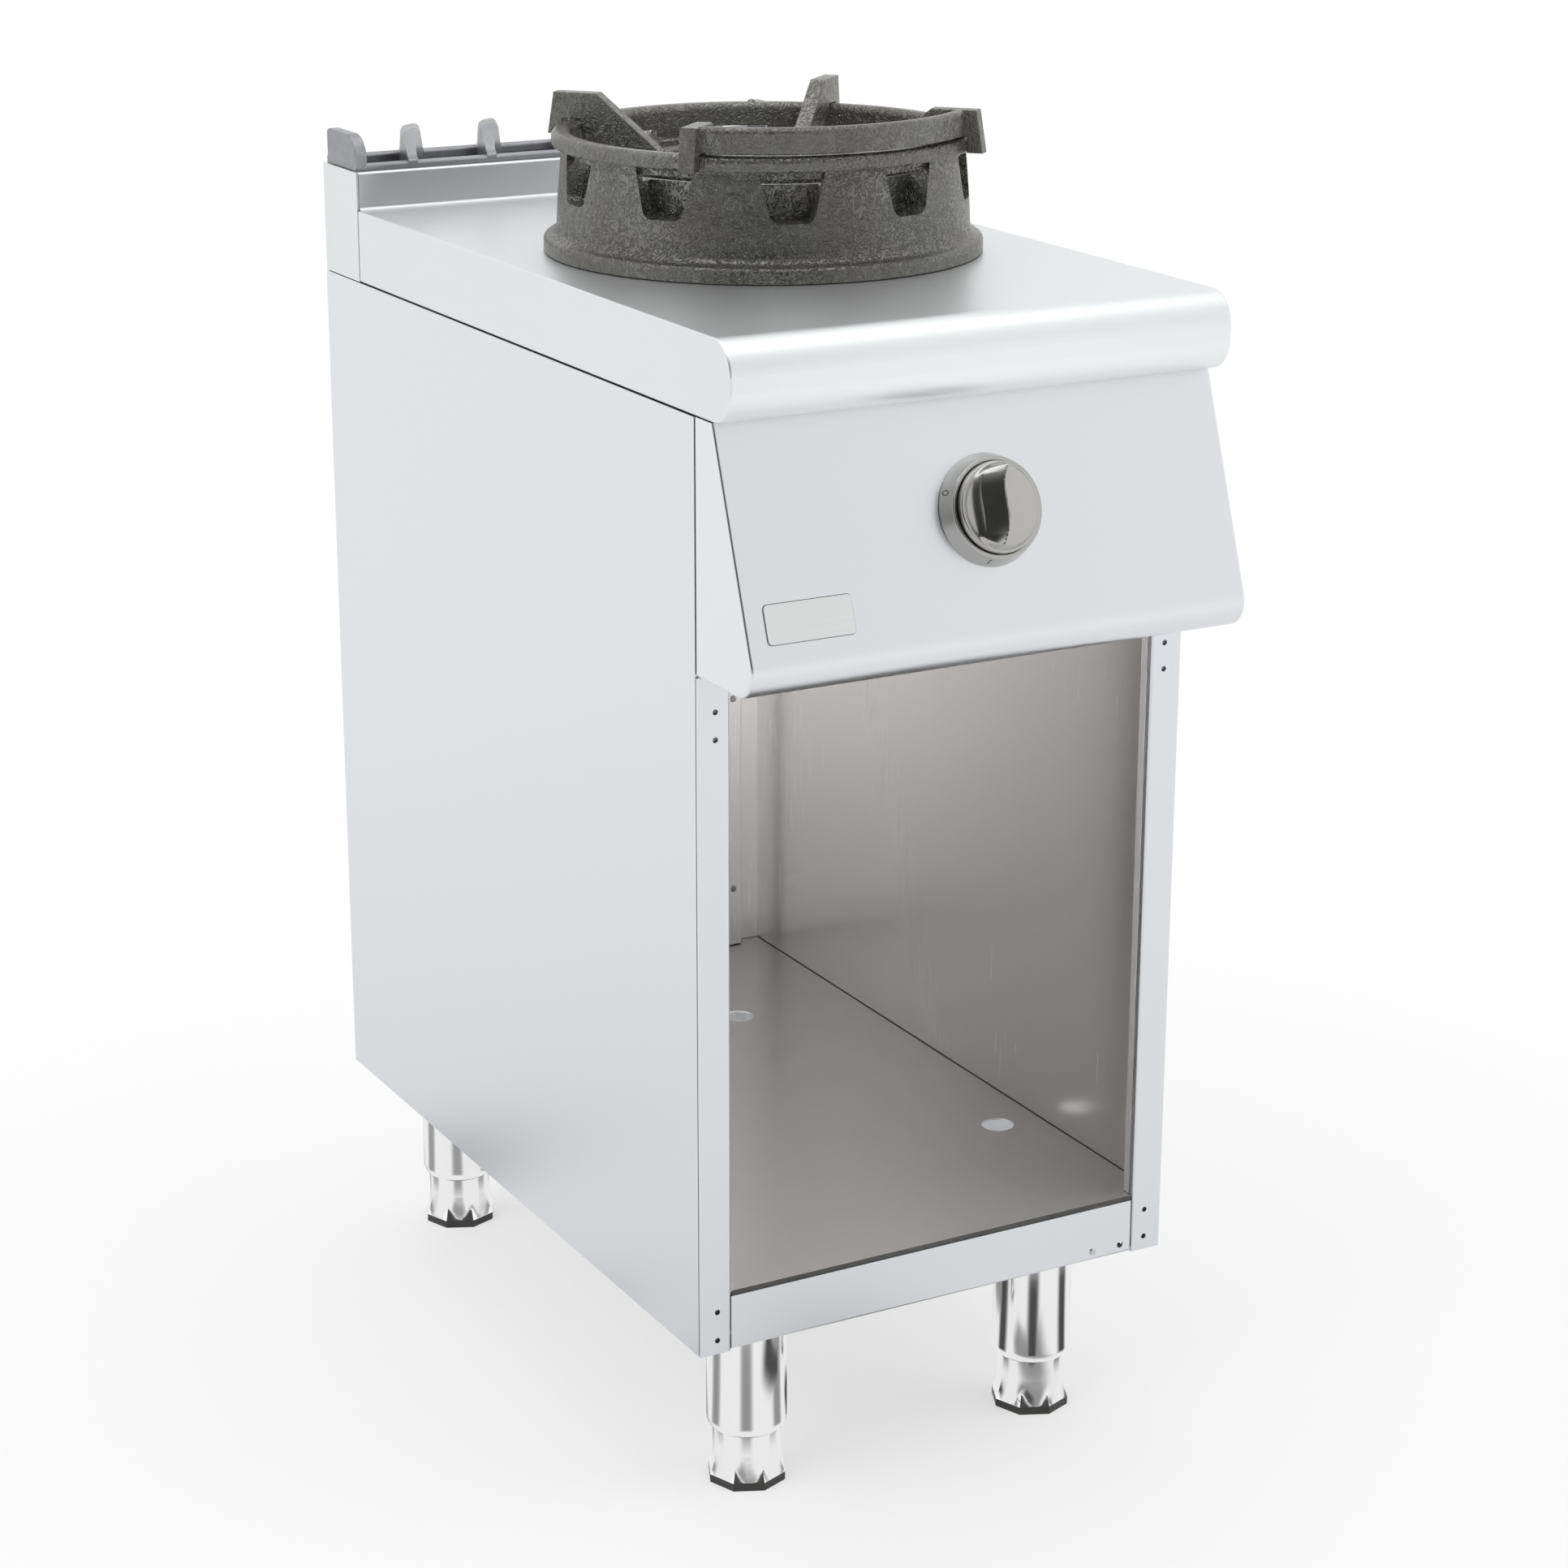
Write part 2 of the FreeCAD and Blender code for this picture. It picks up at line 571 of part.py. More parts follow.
def tap_bracket():
    """Strap that holds the tap to the back of the panel."""
    plate = box(-30, 30, -16, 16, -17, -14)
    legs = [box(side * 28.5 - 1.5, side * 28.5 + 1.5, -16, 16, -14, -SHEET) for side in (-1, 1)]
    hole = rod(V(0, 0, -20), Z_AXIS, SPINDLE_R + CLEAR, 8)
    return at_knob(fuse([plate] + legs).cut(hole))


def tap_body():
    """Brass tap: barrel with the inlet on the right, outlet upwards and two small unions."""
    barrel = turned([(0, -54), (17, -54), (17, -17), (9 + RUNNING, -17), (9 + RUNNING, -48.2), (0, -48.2)])
    inlet = rod(V(15.5, 0, -30), X_AXIS, 10, 17)
    outlet = rod(V(0, 15, -42), Y_AXIS, 9, 15)
    pilot = rod(V(-15.5, 0, -30), V(-1, 0, 0), 5, 10)
    sensor = rod(V(0, 0, -54), V(0, 0, -1), 5, 8)
    ports = fuse([inlet, outlet, pilot, sensor])
    bore = rod(V(0, 0, -48.2), Z_AXIS, 9 + RUNNING, 32)
    return at_knob(barrel.fuse(ports.cut(bore)).removeSplitter())


def tap_plug():
    """Turning plug, driven by the spindle that slides in it."""
    return at_knob(turned([(0, -47.8), (9, -47.8), (9, -17.4), (SPINDLE_R + RUNNING, -17.4),
                           (SPINDLE_R + RUNNING, -38), (0, -38)]))


def knob_frame_point(right, up, out):
    return KNOB_CENTRE + X_AXIS * right + PANEL_UP * up + PANEL_OUT * out


TAP_INLET = knob_frame_point(32.5, 0, -30)
TAP_OUTLET = knob_frame_point(0, 30, -42)
GAS_Z = TAP_INLET.z


# ---- gas train and burner -----------------------------------------------------------------
BURNER_Z = 832.0         # axis of the mixing tube
INJECTOR_Y = 84.0


def gas_inlet():
    """Threaded connection at the back: nipple, hexagon collar and inner union."""
    start = DEPTH - 30
    thread = rod(V(INLET_X, DEPTH, GAS_Z), Y_AXIS, INLET_R, INLET_OUT)
    union = rod(V(INLET_X, start, GAS_Z), Y_AXIS, 9.5, 31)
    hexagon = prism_z([(15 * math.cos(math.radians(a)), 15 * math.sin(math.radians(a)))
                       for a in range(0, 360, 60)], 0, INLET_HEX)
    hexagon.rotate(V(0, 0, 0), X_AXIS, -90)
    collar = moved(hexagon, INLET_X, DEPTH, GAS_Z)
    bore = rod(V(INLET_X, start - 1, GAS_Z), Y_AXIS, 7.0, 32 + INLET_OUT)
    return fuse([thread, union, collar]).cut(bore)


def supply_pipe():
    y = TAP_INLET.y
    points = [TAP_INLET, V(INLET_X, y, GAS_Z), V(INLET_X, DEPTH - 30, GAS_Z)]
    return tube(points, 7.5, 35, 6.2)


def burner_pipe():
    up = TAP_OUTLET + PANEL_UP * 34
    points = [TAP_OUTLET, up, V(KNOB_X, up.y + 30, BURNER_Z), V(KNOB_X, INJECTOR_Y, BURNER_Z)]
    return tube(points, 6.0, 18, 4.8)


def injector():
    """Brass holder with its jet, on the axis of the mixing tube."""
    holder = turned([(0, 0), (9, 0), (9, 16), (6, 16), (6, 22), (3, 27), (0.8, 27), (0.8, 10), (0, 10)])
    holder.rotate(V(0, 0, 0), X_AXIS, -90)
    return moved(holder, KNOB_X, INJECTOR_Y, BURNER_Z)


def venturi():
    """Mixing tube: flared mouth with four air ports, throat and run to the burner."""
    shell = turned([(9, 0), (21, 0), (21, 26), (13, 46, 12), (17, 118, 12), (17, 140), (14.5, 140),
                    (14.5, 118, 12), (10.5, 46, 12), (18.5, 24), (18.5, 2), (9, 2)])
    ports = []
    for angle in (45, 135, 225, 315):
        port = box(10, 25, -6, 6, 6, 20)
        port.rotate(V(0, 0, 0), Z_AXIS, angle)
        ports.append(port)
    shell = shell.cut(Part.makeCompound(ports))
    shell.rotate(V(0, 0, 0), X_AXIS, -90)
    return moved(shell, KNOB_X, INJECTOR_Y + 5, BURNER_Z)


def burner_body():
    """Cast mixing chamber under the crown, with a socket for the mixing tube."""
    chamber = turned([(0, -24), (40, -24, 6), (58, -4, 10), (58, 22, 6), (50, 30), (50, 50), (44, 50),
                      (44, 26), (52, 18, 6), (52, -2, 8), (36, -19, 6), (0, -19)])
    chamber.translate(V(0, RING_Y, BURNER_Z))
    mouth = INJECTOR_Y + 5 + 140
    socket = rod(V(KNOB_X, mouth - 12, BURNER_Z), Y_AXIS, 21, 20)
    seat = rod(V(KNOB_X, mouth - 20, BURNER_Z), Y_AXIS, 17, 20)
    way = rod(V(KNOB_X, mouth - 1, BURNER_Z), Y_AXIS, 14.5, 20)
    return chamber.fuse(socket).cut(seat).cut(way).removeSplitter()


def burner_crown():
    """Lift-off crown: ring of flame slots round a dished centre."""
    low = BURNER_Z + 50 + CLEAR
    crown = turned([(0, low + 12), (30, low + 12, 10), (44, low, 0), (62, low, 1.5), (62, low + 8, 3),
                    (52, low + 20, 5), (34, low + 20, 4), (24, low + 16, 8), (0, low + 16)])
    slots = []
    for i in range(36):
        slot = box(50, 66, -1.1, 1.1, low + 3, low + 13)
        slot.rotate(V(0, 0, 0), Z_AXIS, i * 10)
        slots.append(slot)
    crown = crown.cut(Part.makeCompound(slots))
    return moved(crown, 0, RING_Y, 0)


def burner_pan():
    """Bowl in the worktop's cut-out, round the burner, with a hole for the pilot."""
    lip = TOP_Z + THIN
    wall = CUTOUT_R - 1.0
    pan = turned([(66, 866), (124, 866, 8), (wall, 882, 8), (wall, TOP_Z), (wall + 4.5, TOP_Z),
                  (wall + 4.5, lip), (wall - THIN, lip), (wall - THIN, 882.6, 7),
                  (123.5, 866 + THIN, 7), (66, 866 + THIN)])
    pilot_hole = rod(V(PILOT_AT[0] - 6, PILOT_AT[1], 860), Z_AXIS, 14, 12)
    return moved(pan, 0, RING_Y, 0).cut(pilot_hole)


def burner_bracket():
    """Strap from side to side that carries the burner."""
    low = BURNER_Z - 27.0
    edge = HALF - SHEET - 0.1
    strap = box(-edge, edge, RING_Y - 20, RING_Y + 20, low, low + 3)
    ends = [box(side * (edge - 1.5) - 1.5, side * (edge - 1.5) + 1.5, RING_Y - 20, RING_Y + 20, low, low + 25)
            for side in (-1, 1)]
    return fuse([strap] + ends)


PILOT_AT = (-66.0, RING_Y - 48.0)


def pilot_burner():
    """Small burner beside the crown, on a tab of its own."""
    x, y = PILOT_AT
    stem = rod(V(x, y, 855), Z_AXIS, 4, 38)
    head = rod(V(x, y, 888), Z_AXIS, 6, 12)
    slot = box(x, x + 8, y - 1.5, y + 1.5, 893, 898)
    tab = box(x - 3, x + 15, y - 3, y + 3, 868, 870)
    return fuse([stem, head, tab]).cut(slot)


def pilot_pipe():
    x, y = PILOT_AT
    start = knob_frame_point(-25.5, 0, -30)
    points = [start, V(x, start.y, start.z), V(x, y, start.z + 20), V(x, y, 855)]
    return tube(points, 2.0, 22)


def thermocouple():
    """Sensor beside the pilot's flame, with its lead to the back of the tap."""
    x, y = PILOT_AT
    start = knob_frame_point(0, 0, -62)
    turn = V(x - 14, y, start.z + 10)
    lead = tube([start, start + PANEL_OUT * -40, turn, V(x - 14, y, 872)], 1.2, 14)
    probe = turned([(0, 0), (3, 0), (3, 14, 1), (2, 14), (2, 30, 1.5), (0, 30)])
    return fuse([lead, moved(probe, x - 14, y, 872)])


# ---- ring and wok support -----------------------------------------------------------------
def ring_window():
    """Cutter for one window and its pocket, along +X: wide above, narrow below."""
    face = Part.Face(outline([(-24, RIM_LOW), (-15, POCKET_FLOOR, 8), (15, POCKET_FLOOR, 8), (24, RIM_LOW)],
                             lambda u, v: V(COLLAR_R, u, v)))
    return face.extrude(V(FLANGE_R - COLLAR_R, 0, 0))


def ring_hollow():
    """Cutter under the shelf between two windows, leaving the webs and roof of the casting."""
    half = math.radians(360 / WINDOWS / 2 - 9.5)
    near = COLLAR_R
    far = 144.0
    low = POCKET_FLOOR - 4
    wedge = prism_z([(near * math.cos(half), -near * math.sin(half)), (far, -far * math.tan(half)),
                     (far, far * math.tan(half)), (near * math.cos(half), near * math.sin(half))],
                    low, COLLAR_TOP - 5)
    return wedge.common(turned([(COLLAR_R, low), (far, low), (far, COLLAR_TOP), (COLLAR_R, COLLAR_TOP)]))


def burner_ring():
    """Cast-iron ring: flanged foot, ten windows, thick rim, and an inner collar behind them."""
    foot_in = 146.5
    shell = turned([(foot_in, 0), (FLANGE_R, 0, 1), (FLANGE_R, 10.5, 4), (WALL_BASE_R + 1.2, 14.5, 8),
                    (WALL_BASE_R, 38), (WALL_TOP_R, RIM_LOW, 1.5), (RIM_R, RIM_LOW, 2), (RIM_R, RIM_TOP, 5),
                    (RING_INNER_R, RIM_TOP, 5), (RING_INNER_R, 72), (COLLAR_R + 15, COLLAR_TOP - 20)])
    shelf = turned([(COLLAR_IN_R, POCKET_FLOOR - 4), (148, POCKET_FLOOR - 4), (148, COLLAR_TOP),
                    (COLLAR_IN_R + 1.5, COLLAR_TOP), (COLLAR_IN_R, COLLAR_TOP - 1.5)])
    inside = turned([(0, -1), (foot_in, -1), (foot_in, 0), (COLLAR_R + 15, COLLAR_TOP - 20),
                     (RING_INNER_R, 72), (RING_INNER_R, RIM_TOP + 1), (0, RIM_TOP + 1)])
    lip = shelf.common(inside)
    ring = fuse([shell, lip])
    cutters = []
    for i in range(WINDOWS):
        window = ring_window()
        window.rotate(V(0, 0, 0), Z_AXIS, i * 360 / WINDOWS + RING_TURN)
        cutters.append(window)
    for i in range(WINDOWS):
        hollow = ring_hollow()
        hollow.rotate(V(0, 0, 0), Z_AXIS, (i + 0.5) * 360 / WINDOWS + RING_TURN)
        cutters.append(hollow)
    for cutter in cutters:
        ring = ring.cut(cutter)
    hanging = turned([(RING_INNER_R, RIM_HANG_Z), (RIM_HANG_R, RIM_HANG_Z), (RIM_HANG_R, RIM_LOW + 1),
                      (RING_INNER_R, RIM_LOW + 1)])
    nub = Part.makeSphere(4.0, V(NUB_R * math.cos(NUB_ANGLE), NUB_R * math.sin(NUB_ANGLE), RIM_TOP - 2))
    return moved(fuse([ring, hanging, nub]), 0, RING_Y, TOP_Z + CLEAR)


def wok_support():
    """Four fins notched over the ring's rim, a hoop that joins them, and the front band."""
    fin = [(165, FIN_TOP), (170, 78), (RIM_R + 0.7, 78), (RIM_R + 0.7, RIM_TOP + CLEAR),
           (RING_INNER_R - 0.9, RIM_TOP + CLEAR), (RING_INNER_R - 0.9, 81), (92, 58), (80, 58),
           (80, 67.7), (130.5, FIN_TOP)]
    fins = []
    for k in range(4):
        plate = slab(fin, FIN_T)
        plate = plate.makeFillet(0.8, [e for e in plate.Edges if e.BoundBox.YLength < 1e-3])
        plate.rotate(V(0, 0, 0), Z_AXIS, 45 + 90 * k + FIN_TURN)
        fins.append(plate)
    hoop = turned([(80, 58, 2), (92, 58, 2), (92, 67, 2), (80, 67, 2)])
    band = turned([(147, RIM_TOP + 2), (157, RIM_TOP + 2), (157, FIN_TOP, 4), (147, FIN_TOP, 4)],
                  90, -135 + FIN_TURN)
    return moved(fuse(fins + [hoop, band]), 0, RING_Y, TOP_Z + CLEAR)


# ---- legs and feet ------------------------------------------------------------------------
def leg_tube():
    """Fixed tube with a rolled-in lower end and a mounting disc on top."""
    inner = LEG_R - LEG_WALL
    mouth = FOOT_R + CLEAR
    return turned([(SPINDLE_FOOT_R + 1, CABINET_Z), (LEG_R, CABINET_Z), (LEG_R, LEG_END_Z, 10),
                   (mouth, LEG_END_Z), (mouth, LEG_END_Z + LEG_WALL), (inner, LEG_END_Z + LEG_WALL, 8.5),
                   (inner, CABINET_Z - 3), (SPINDLE_FOOT_R + 1, CABINET_Z - 3)])


def leg_bush():
    """Threaded insert inside the leg; the foot's spindle runs in it."""
    return turned([(SPINDLE_FOOT_R + RUNNING, 110), (LEG_R - LEG_WALL, 110), (LEG_R - LEG_WALL, 126),
                   (SPINDLE_FOOT_R + RUNNING, 126)])


def octagon_section(z, blend):
    """Wire of eight sides at z, from a circle (blend 0) to a straight octagon (blend 1)."""
    corner = FOOT_R + (FOOT_BASE_R - FOOT_R) * blend
    flat = FOOT_R + (FOOT_BASE_R * math.cos(math.pi / 8) - FOOT_R) * blend

    def at(radius, degrees):
        return V(radius * math.cos(math.radians(degrees)), radius * math.sin(math.radians(degrees)), z)

    edges = []
    for k in range(8):
        start = -2 + 45 * k
        ends = at(corner, start), at(corner, start + 45)
        if blend < 1:
            edges.append(Part.Arc(ends[0], at(flat, start + 22.5), ends[1]).toShape())
        else:
            edges.append(Part.LineSegment(*ends).toShape())
    return Part.Wire(edges)


def foot_tube():
    """Lower tube that flares into an octagon, closed below, with its spindle inside."""
    stages = 5
    sections = []
    for i in range(stages + 1):
        z = FOOT_FLARE_Z + (PAD_H - FOOT_FLARE_Z) * i / stages
        sections.append(octagon_section(z, (i / stages) ** 1.8))
    flare = Part.makeLoft(sections, True, False)
    barrel = turned([(0, FOOT_FLARE_Z), (FOOT_R, FOOT_FLARE_Z), (FOOT_R, 92), (FOOT_R - 2, 92),
                     (FOOT_R - 2, FOOT_FLARE_Z + 4), (0, FOOT_FLARE_Z + 4)])
    spindle = rod(V(0, 0, FOOT_FLARE_Z), Z_AXIS, SPINDLE_FOOT_R, 150 - FOOT_FLARE_Z)
    return flare.fuse(barrel).fuse(spindle).removeSplitter()


def foot_pad():
    base = Part.Face(octagon_section(0, 1)).extrude(V(0, 0, PAD_H))
    return base


# ---- writing ------------------------------------------------------------------------------
def write(name, shape):
    shape = moved(shape, 0, -ORIGIN_Y, 0)
    shape.exportStep("parts/" + name + ".step")
    bounds = shape.BoundBox
    print("%-18s solids %2d valid %s  x %.1f %.1f  y %.1f %.1f  z %.1f %.1f" % (
        name, len(shape.Solids), shape.isValid(), bounds.XMin, bounds.XMax, bounds.YMin, bounds.YMax,
        bounds.ZMin, bounds.ZMax))


os.makedirs("parts", exist_ok=True)

for make in (side_panel, stile, liner):
    write("left_" + make.__name__, make())
    write("right_" + make.__name__, mirrored(make()))
for make in (back_panel, bottom_rail, rail_screw, base_shelf, inner_back, liner_rivets, top_shield,
             back_screws, worktop, flue_riser, flue_grille, control_panel, badge_plate, knob_bezel,
             knob, knob_spindle, thrust_washer, tap_spring, tap_bracket, tap_body, tap_plug,
             gas_inlet, supply_pipe, burner_pipe, injector, venturi, burner_body, burner_crown,
             burner_pan, burner_bracket, pilot_burner, pilot_pipe, thermocouple, burner_ring,
             wok_support):
    write(make.__name__, make())
write("front_cross_rail", cross_rail(LEG_FRONT_Y))
write("rear_cross_rail", cross_rail(LEG_BACK_Y))

CORNERS = {"front_left": (-LEG_X, LEG_FRONT_Y), "front_right": (LEG_X, LEG_FRONT_Y),
           "rear_left": (-LEG_X, LEG_BACK_Y), "rear_right": (LEG_X, LEG_BACK_Y)}
write("leg_bushes", Part.makeCompound([moved(leg_bush(), x, y) for x, y in CORNERS.values()]))
for corner, (corner_x, corner_y) in CORNERS.items():
    write("leg_" + corner, moved(leg_tube(), corner_x, corner_y))
    write("foot_" + corner, moved(foot_tube(), corner_x, corner_y))
    write("pad_" + corner, moved(foot_pad(), corner_x, corner_y))
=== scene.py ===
"""Looks of the wok range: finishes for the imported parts, a modelled knob grip, marks, light and camera."""
import bmesh
import bpy
import itertools
import json
import math
from mathutils import Matrix, Vector


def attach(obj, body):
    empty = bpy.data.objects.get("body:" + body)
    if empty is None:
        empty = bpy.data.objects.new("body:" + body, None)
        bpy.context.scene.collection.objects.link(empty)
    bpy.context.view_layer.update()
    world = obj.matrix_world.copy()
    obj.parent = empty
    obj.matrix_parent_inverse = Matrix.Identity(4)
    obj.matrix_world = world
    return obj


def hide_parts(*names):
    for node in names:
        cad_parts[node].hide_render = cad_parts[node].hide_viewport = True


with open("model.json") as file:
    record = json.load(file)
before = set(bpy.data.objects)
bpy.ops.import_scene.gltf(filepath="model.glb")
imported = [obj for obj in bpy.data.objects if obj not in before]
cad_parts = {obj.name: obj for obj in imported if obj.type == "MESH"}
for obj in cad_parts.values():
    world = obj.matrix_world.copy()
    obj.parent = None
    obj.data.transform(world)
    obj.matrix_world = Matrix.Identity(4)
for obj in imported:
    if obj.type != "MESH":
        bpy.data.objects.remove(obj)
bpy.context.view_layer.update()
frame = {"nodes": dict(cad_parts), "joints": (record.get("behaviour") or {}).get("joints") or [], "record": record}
nodes = frame["nodes"]

MM = 0.001

# ---- camera -------------------------------------------------------------------------------
LENS = 82.83
SENSOR = 36.0
CAMERA_AT = Vector((-1.2887, -2.3872, 1.3418))
YAW = math.radians(28.925)
PITCH = math.radians(-17.895)
ROLL = math.radians(0.137)


def make_camera():
    """Camera at the photograph's angle."""
    forward = Vector((math.sin(YAW) * math.cos(PITCH), math.cos(YAW) * math.cos(PITCH), math.sin(PITCH)))
    level_right = Vector((math.cos(YAW), -math.sin(YAW), 0))
    level_up = level_right.cross(forward)
    right = level_right * math.cos(ROLL) + level_up * math.sin(ROLL)
    up = level_up * math.cos(ROLL) - level_right * math.sin(ROLL)
    data = bpy.data.cameras.new("camera")
    data.lens = LENS
    data.sensor_width = SENSOR
    data.clip_start = 0.05
    data.clip_end = 60
    camera = bpy.data.objects.new("camera", data)
    bpy.context.scene.collection.objects.link(camera)
    turn = Matrix((right, up, -forward)).transposed().to_4x4()
    camera.matrix_world = Matrix.Translation(CAMERA_AT) @ turn
    bpy.context.scene.camera = camera


# ---- node helpers -------------------------------------------------------------------------
class Nodes:
    """Adds nodes to a tree and links them."""

    def __init__(self, tree):
        self.tree = tree

    def node(self, kind, **values):
        made = self.tree.nodes.new(kind)
        for key, value in values.items():
            if key in made.inputs.keys():
                made.inputs[key].default_value = value
            else:
                setattr(made, key, value)
        return made

    def link(self, source, target):
        self.tree.links.new(source, target)

    def ramp(self, value, low, high, out_low, out_high, smooth=False):
        """Clamped map of a value from one range to another."""
        made = self.node("ShaderNodeMapRange")
        if smooth:
            made.interpolation_type = "SMOOTHSTEP"
        for key, number in (("From Min", low), ("From Max", high), ("To Min", out_low), ("To Max", out_high)):
            made.inputs[key].default_value = number
        self.link(value, made.inputs["Value"])
        return made.outputs["Result"]

    def math(self, operation, first, second):
        """Sum, product and so on of two values; each is a socket or a number."""
        made = self.node("ShaderNodeMath", operation=operation)
        for socket, value in zip(made.inputs, (first, second)):
            if isinstance(value, bpy.types.NodeSocket):
                self.link(value, socket)
            else:
                socket.default_value = value
        return made.outputs[0]

    def along(self, vector, direction):
        """How far a vector reaches along a direction."""
        made = self.node("ShaderNodeVectorMath", operation="DOT_PRODUCT")
        self.link(vector, made.inputs[0])
        made.inputs[1].default_value = direction
        return made.outputs["Value"]


class Shader(Nodes):
    """A material under construction."""

    def __init__(self, name):
        self.material = bpy.data.materials.new(name)
        self.material.use_nodes = True
        super().__init__(self.material.node_tree)
        self.bsdf = self.tree.nodes["Principled BSDF"]
        self.output = self.tree.nodes["Material Output"]

    def set(self, **values):
        for key, value in values.items():
            self.bsdf.inputs[key.replace("_", " ")].default_value = value

    def coordinates(self, scale=(1, 1, 1), turn=(0, 0, 0)):
        """Object coordinates in metres, turned and stretched."""
        place = self.node("ShaderNodeTexCoord")
        mapping = self.node("ShaderNodeMapping")
        mapping.inputs["Scale"].default_value = scale
        mapping.inputs["Rotation"].default_value = turn
        self.link(place.outputs["Object"], mapping.inputs["Vector"])
        return mapping.outputs["Vector"]

    def noise(self, vector, scale, detail=3.0, roughness=0.5, distortion=0.0):
        made = self.node("ShaderNodeTexNoise", Scale=scale, Detail=detail, Roughness=roughness,
                         Distortion=distortion)
        self.link(vector, made.inputs["Vector"])
        return made.outputs["Fac"]

    def mix(self, factor, low, high):
        """Colour from low to high."""
        made = self.node("ShaderNodeMix", data_type="RGBA")
        self.link(factor, made.inputs["Factor"])
        for socket, colour in ((made.inputs[6], low), (made.inputs[7], high)):
            if isinstance(colour, bpy.types.NodeSocket):
                self.link(colour, socket)
            else:
                socket.default_value = (*colour, 1)
        return made.outputs[2]

    def blend(self, *parts):
        """Weighted sum of values: pairs of socket and weight."""
        total = self.math("MULTIPLY", parts[0][0], parts[0][1])
        for value, weight in parts[1:]:
            total = self.math("ADD", total, self.math("MULTIPLY", value, weight))
        return total

    def bump(self, height, distance, strength=1.0):
        made = self.node("ShaderNodeBump", Strength=strength, Distance=distance)
        self.link(height, made.inputs["Height"])
        self.link(made.outputs["Normal"], self.bsdf.inputs["Normal"])

    def colour(self, socket):
        self.link(socket, self.bsdf.inputs["Base Color"])

    def rough(self, socket):
        self.link(socket, self.bsdf.inputs["Roughness"])


GRAIN = {"x": (12, 2600, 2600), "y": (2600, 12, 2600), "z": (2600, 2600, 12)}


def brushed(name, tint, rough, grain="x", contrast=0.05, metallic=1.0, relief=0.4):
    """Stainless sheet: long fine brush lines along one axis, with broad faint clouds of sheen."""
    s = Shader(name)
    s.set(Metallic=metallic)
    lines = s.noise(s.coordinates(GRAIN[grain]), 1.0, 4.0, 0.6)
    clouds = s.noise(s.coordinates(), 4.0, 3.0, 0.55)
    both = s.blend((lines, 0.6), (clouds, 0.4))
    dark = tuple(c * (1 - contrast) for c in tint)
    light = tuple(min(1.0, c * (1 + contrast * 0.6)) for c in tint)
    s.colour(s.mix(s.ramp(both, 0.35, 0.65, 0, 1), dark, light))
    s.rough(s.ramp(both, 0.3, 0.7, rough - 0.03, rough + 0.04))
    s.bump(lines, 0.0015 * MM, relief)
    return s.material


def cast(name, low, high, rough=(0.32, 0.46), relief=0.16, metallic=0.6):
    """Sand-cast iron: fine curly veins, shallow lumps and grit, with a worn sheen on the high spots."""
    s = Shader(name)
    s.set(Metallic=metallic)
    swirl = s.noise(s.coordinates(), 170.0, 2.0, 0.5, 1.6)
    veins = s.ramp(s.math("ABSOLUTE", s.math("SUBTRACT", swirl, 0.5), 0), 0, 0.07, 0, 1, True)
    lumps = s.noise(s.coordinates(), 75.0, 2.0, 0.5)
    grains = s.noise(s.coordinates(), 1500.0, 3.0, 0.7)
    clouds = s.noise(s.coordinates(), 14.0, 3.0, 0.6)
    tone = s.blend((swirl, 0.2), (grains, 0.25), (clouds, 0.55))
    s.colour(s.mix(s.ramp(tone, 0.38, 0.62, 0, 1), low, high))
    s.rough(s.ramp(tone, 0.35, 0.65, rough[1], rough[0]))
    s.bump(s.blend((veins, 0.9), (swirl, 0.5), (lumps, 0.8), (grains, 0.12)), relief * MM, 0.9)
    return s.material


def plated(name, tint, rough, spots=0.03):
    """Plated or polished metal with faint uneven sheen."""
    s = Shader(name)
    s.set(Metallic=1.0)
    clouds = s.noise(s.coordinates(), 60.0, 4.0, 0.6)
    dark = tuple(c * (1 - spots) for c in tint)
    s.colour(s.mix(s.ramp(clouds, 0.35, 0.65, 0, 1), dark, tint))
    s.rough(s.ramp(clouds, 0.3, 0.7, rough, rough + 0.05))
    return s.material


def spangled(name, tint, rough=0.42):
    """Galvanised sheet with its crystal spangle."""
    s = Shader(name)
    s.set(Metallic=1.0)
    cells = s.node("ShaderNodeTexVoronoi", Scale=90.0)
    s.link(s.coordinates(), cells.inputs["Vector"])
    value = s.node("ShaderNodeSeparateColor")
    s.link(cells.outputs["Color"], value.inputs["Color"])
    dark = tuple(c * 0.82 for c in tint)
    s.colour(s.mix(value.outputs[0], dark, tint))
    s.rough(s.ramp(value.outputs[0], 0, 1, rough - 0.08, rough + 0.1))
    return s.material


def moulded(name, tint, rough=0.55):
    """Moulded plastic or rubber with a fine grain."""
    s = Shader(name)
    grains = s.noise(s.coordinates(), 1200.0, 3.0, 0.6)
    clouds = s.noise(s.coordinates(), 40.0, 2.0, 0.5)
    light = tuple(c * 1.35 for c in tint)
    s.colour(s.mix(s.ramp(clouds, 0.35, 0.65, 0, 1), tint, light))
    s.rough(s.ramp(grains, 0.3, 0.7, rough - 0.06, rough + 0.08))
    s.bump(grains, 0.03 * MM, 0.6)
    return s.material


